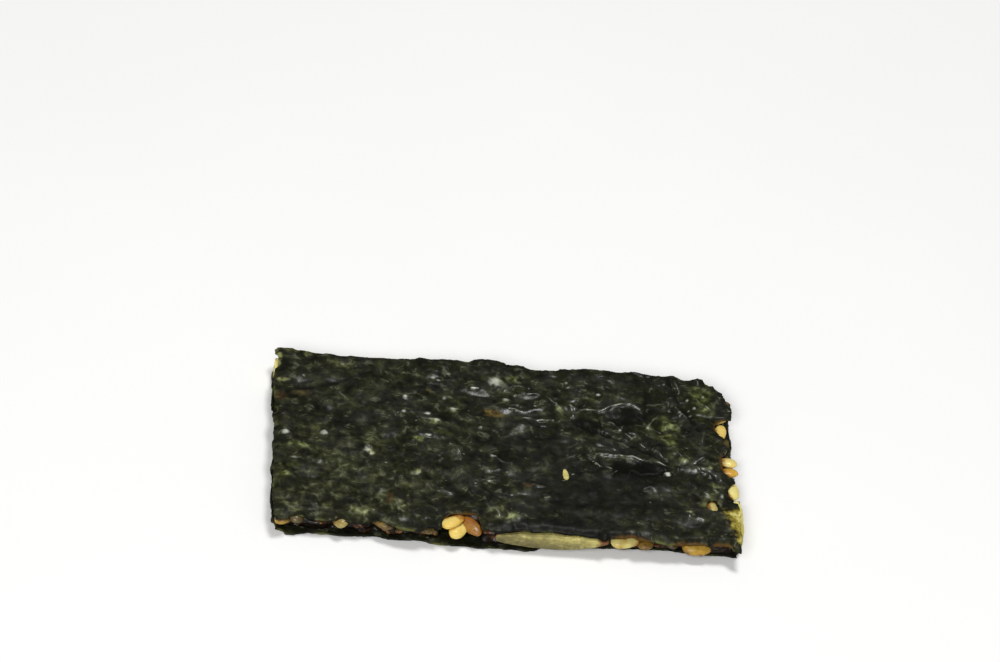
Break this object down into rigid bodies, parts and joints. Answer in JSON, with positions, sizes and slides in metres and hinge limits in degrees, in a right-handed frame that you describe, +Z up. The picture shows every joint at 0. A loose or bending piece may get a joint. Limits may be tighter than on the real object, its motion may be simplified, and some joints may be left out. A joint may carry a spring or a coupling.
{
  "type": "seaweed snack crisp",
  "caption": "Oblong crisp of roasted nori sheets with a thin syrup layer of sesame seeds and sliced almond between them, open at its cut edges.",
  "frame": {"origin": "under the middle of the crisp, on the surface that it lies on", "axes": "+X along the long side, +Y from the front cut edge to the back one, +Z up through the layers"},
  "size_m": [0.0488, 0.0259, 0.0031],
  "materials": {
    "nori": "satin",
    "filling": "gloss",
    "almond": "matte"
  },
  "bodies": {
    "root": {"upper_sheet": "nori", "lower_sheet": "nori", "filling": "filling", "almond_front": "almond", "almond_right": "almond", "almond_left": "almond", "almond_back": "almond"}
  },
  "joints": []
}
